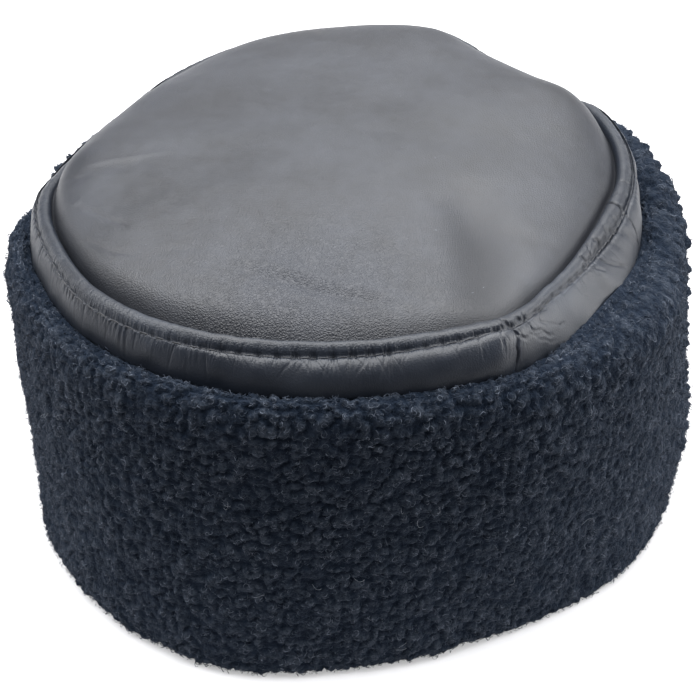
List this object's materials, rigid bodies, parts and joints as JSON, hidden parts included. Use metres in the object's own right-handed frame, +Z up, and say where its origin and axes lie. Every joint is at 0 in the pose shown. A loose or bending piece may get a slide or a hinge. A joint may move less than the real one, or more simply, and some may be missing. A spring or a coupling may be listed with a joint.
{
  "type": "kubanka hat",
  "caption": "Kubanka hat with a puffed black leather crown, a rolled and topstitched seam, and a tall band of black curly sheepskin; open underneath for a head",
  "frame": {"origin": "centre of the footprint, on the surface that the hat stands on", "axes": "+Z is up through the crown, the front faces -Y, and +X is to the right in the picture"},
  "size_m": [0.2287, 0.2307, 0.137],
  "materials": {
    "panel_leather": "black nappa, soft sheen",
    "wall_leather": "black nappa, soft sheen",
    "sheepskin": "curly pile, matte"
  },
  "bodies": {
    "root": {"top_panel": "panel_leather", "side_wall": "wall_leather", "fur_band": "sheepskin"}
  },
  "joints": []
}
